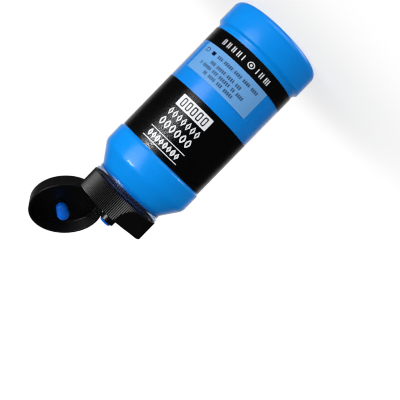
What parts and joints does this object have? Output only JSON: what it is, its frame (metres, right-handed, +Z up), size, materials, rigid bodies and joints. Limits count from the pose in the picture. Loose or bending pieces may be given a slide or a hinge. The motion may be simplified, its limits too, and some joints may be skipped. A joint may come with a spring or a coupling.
{
  "type": "squeeze bottle of fluid acrylic paint",
  "caption": "Clear round squeeze bottle filled with blue fluid paint, with a wrap label and a black ribbed screw closure whose flip-top lid stands open over a small pouring nozzle.",
  "frame": {"origin": "on the bottle's axis, at the middle of its base", "axes": "+Z up along the bottle's axis from base to closure; the label's front faces -Y"},
  "size_m": [0.056, 0.0544, 0.1322],
  "materials": {
    "clear_pet": "clear blown PET, glossy",
    "label_film": "printed film, black bands with a clear window, semi-gloss",
    "blue_paint": "wet cerulean-blue acrylic paint, opaque and glossy",
    "white_foam": "white foamed polyethylene, matt",
    "black_pp": "black moulded polypropylene, satin with fine ribs"
  },
  "bodies": {
    "bottle": {"bottle_shell": "clear_pet", "label_wrap": "label_film", "paint_fill": "blue_paint"},
    "liner": {"seal_liner": "white_foam"},
    "closure": {"cap_base": "black_pp", "paint_at_mouth": "blue_paint", "hinge_film": "black_pp", "hinge_strap_left": "black_pp", "hinge_strap_right": "black_pp"},
    "lid": {"cap_lid": "black_pp", "paint_on_plug": "blue_paint"}
  },
  "joints": [
    {"name": "cap_lift", "type": "slide", "parent": "bottle", "child": "liner", "axis": [0, 0, 1], "range_m": [0, 0.0127]},
    {"name": "cap_turn", "type": "hinge", "parent": "liner", "child": "closure", "pos_m": [0, 0, 0.0955], "axis": [0, 0, 1], "range_deg": [0, 1080]},
    {"name": "lid_hinge", "type": "hinge", "parent": "closure", "child": "lid", "pos_m": [0.01236, 0.0109, 0.10215], "axis": [-0.6613, 0.7501, 0], "range_deg": [-114.8, 25.2], "deforming": ["hinge_film", "hinge_strap_left", "hinge_strap_right", "paint_at_mouth", "paint_on_plug"]}
  ],
  "couplings": [
    {"joint": "cap_lift", "follows": "cap_turn", "m_per_rad": 0.0006737}
  ]
}
